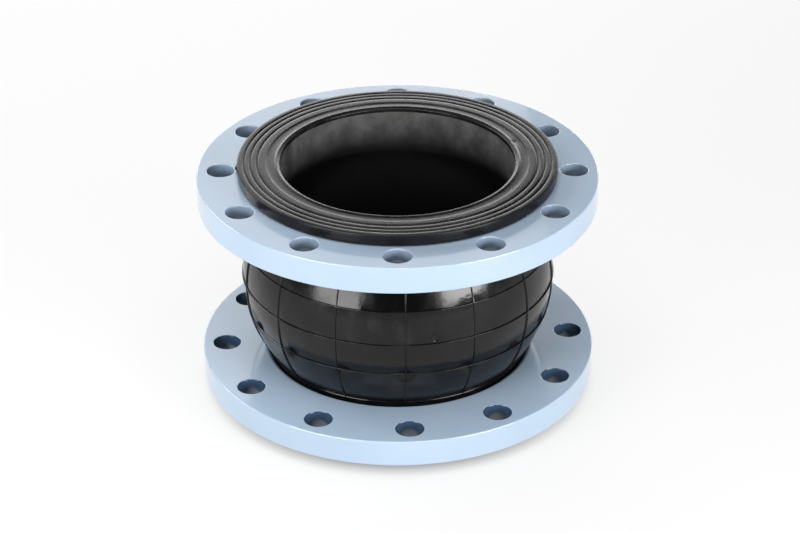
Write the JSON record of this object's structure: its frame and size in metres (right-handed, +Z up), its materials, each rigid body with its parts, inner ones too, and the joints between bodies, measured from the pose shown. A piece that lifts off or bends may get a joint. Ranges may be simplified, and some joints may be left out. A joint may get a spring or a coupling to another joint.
{
  "type": "rubber expansion joint",
  "caption": "Single-arch reinforced rubber pipe joint with two swivelling drilled steel flanges; it takes up axial, sideways and angular movement.",
  "frame": {"origin": "centre of the lower sealing face, on the surface that the joint stands on", "axes": "+Z up along the joint's axis, from the lower sealing face to the upper one; -Y faces the viewer, through one of the upper flange's bolt holes; +X to the right"},
  "size_m": [0.335, 0.335, 0.205],
  "materials": {
    "flange_paint": "light blue gloss enamel",
    "rubber_cover": "black moulded rubber, satin, with a faint grey bloom",
    "nylon_cord": "rubberised nylon cord laid on the bias",
    "rubber_tube": "black moulded rubber, matt",
    "rubber_collar": "black-grey moulded rubber, satin, with concentric sealing ridges",
    "bead_steel": "bright drawn steel",
    "filler_rubber": "hard black rubber, matt"
  },
  "bodies": {
    "lower_end": {"lower_seal_collar": "rubber_collar", "lower_bead_ring": "bead_steel", "lower_bead_filler": "filler_rubber"},
    "lining": {"inner_tube": "rubber_tube", "inner_cord_ply": "nylon_cord"},
    "casing": {"outer_cord_ply": "nylon_cord", "outer_cover": "rubber_cover"},
    "upper_end": {"upper_seal_collar": "rubber_collar", "upper_bead_ring": "bead_steel", "upper_bead_filler": "filler_rubber"},
    "upper_flange": {"upper_flange": "flange_paint"},
    "lower_flange": {"lower_flange": "flange_paint"}
  },
  "joints": [
    {"name": "axial_travel", "type": "slide", "parent": "lower_end", "child": "lining", "axis": [0, 0, 1], "range_m": [-0.025, 0.016], "stiffness_N_per_m": 330000, "deforming": ["inner_tube", "inner_cord_ply", "outer_cord_ply", "outer_cover"]},
    {"name": "lateral_offset", "type": "slide", "parent": "lining", "child": "casing", "axis": [1, 0, 0], "range_m": [-0.022, 0.022], "stiffness_N_per_m": 240000, "deforming": ["inner_tube", "inner_cord_ply", "outer_cord_ply", "outer_cover"]},
    {"name": "angular_deflection", "type": "hinge", "parent": "casing", "child": "upper_end", "pos_m": [0, 0, 0.1025], "axis": [0, 1, 0], "range_deg": [-15, 15], "stiffness_Nm_per_rad": 1400, "deforming": ["inner_tube", "inner_cord_ply", "outer_cord_ply", "outer_cover"]},
    {"name": "upper_flange_swivel", "type": "hinge", "parent": "upper_end", "child": "upper_flange", "pos_m": [0, 0, 0.183], "axis": [0, 0, 1], "continuous": true},
    {"name": "lower_flange_swivel", "type": "hinge", "parent": "lower_end", "child": "lower_flange", "pos_m": [0, 0, 0.022], "axis": [0, 0, 1], "continuous": true}
  ]
}
